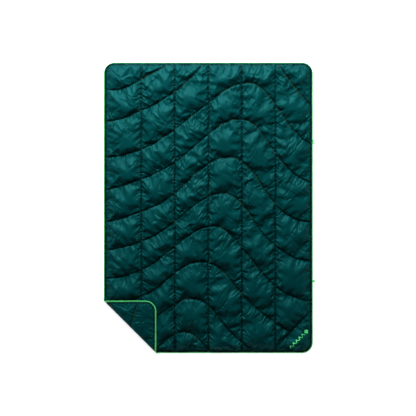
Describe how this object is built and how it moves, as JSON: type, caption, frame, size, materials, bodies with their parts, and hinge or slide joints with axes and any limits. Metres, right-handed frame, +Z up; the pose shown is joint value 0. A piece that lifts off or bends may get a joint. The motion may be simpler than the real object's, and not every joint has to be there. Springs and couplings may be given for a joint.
{
  "type": "camp blanket",
  "caption": "Quilted puffy camp blanket lying flat, one corner folded over, with edge binding, cape clip and loop.",
  "frame": {"origin": "centre of the open blanket's outline, on the surface it lies on", "axes": "+Y along the long side, +X to the side with the cape clip and loop, +Z up from the surface"},
  "size_m": [1.283, 1.765, 0.0346],
  "materials": {
    "face_nylon": "semi-gloss woven nylon taffeta, quilted",
    "back_nylon": "satin woven nylon taffeta, smooth",
    "fibre_fill": "lofted polyester fibre",
    "green_binding": "woven nylon binding tape",
    "dark_thread": "twisted polyester thread",
    "wave_thread": "twisted polyester thread, olive green",
    "emblem_thread": "satin-stitch embroidery",
    "clip_plastic": "moulded acetal, satin"
  },
  "bodies": {
    "blanket": {"back_shell": "back_nylon", "clip_tab": "green_binding", "column_stitch_1": "dark_thread", "column_stitch_2": "dark_thread", "column_stitch_3": "dark_thread", "column_stitch_4": "dark_thread", "column_stitch_5": "dark_thread", "edge_binding": "green_binding", "edge_stitching": "dark_thread", "emblem": "emblem_thread", "face_shell": "face_nylon", "insulation": "fibre_fill", "patch_stitch": "dark_thread", "wave_stitch_01": "wave_thread", "wave_stitch_02": "wave_thread", "wave_stitch_03": "wave_thread", "wave_stitch_04": "wave_thread", "wave_stitch_05": "wave_thread", "wave_stitch_06": "wave_thread", "wave_stitch_07": "wave_thread", "wave_stitch_08": "wave_thread", "wave_stitch_09": "wave_thread", "wave_stitch_10": "wave_thread", "wave_stitch_11": "wave_thread"},
    "corner": {"corner_back_shell": "back_nylon", "corner_column_stitch_1": "dark_thread", "corner_edge_binding": "green_binding", "corner_edge_stitching": "dark_thread", "corner_face_shell": "face_nylon", "corner_insulation": "fibre_fill", "corner_wave_stitch_10": "wave_thread"},
    "clip": {"cape_clip": "clip_plastic"},
    "loop": {"cape_loop": "green_binding"}
  },
  "joints": [
    {"name": "corner_fold", "type": "hinge", "parent": "blanket", "child": "corner", "pos_m": [-0.475, -0.7225, 0.0173], "axis": [0.7071, -0.7071, 0], "range_deg": [0, 180]},
    {"name": "clip_swing", "type": "hinge", "parent": "blanket", "child": "clip", "pos_m": [0.6374, 0.401, 0.0018], "axis": [0, -1, 0], "range_deg": [0, 100]},
    {"name": "loop_swing", "type": "hinge", "parent": "blanket", "child": "loop", "pos_m": [0.6366, -0.445, 0.0018], "axis": [0, -1, 0], "range_deg": [0, 90]}
  ]
}
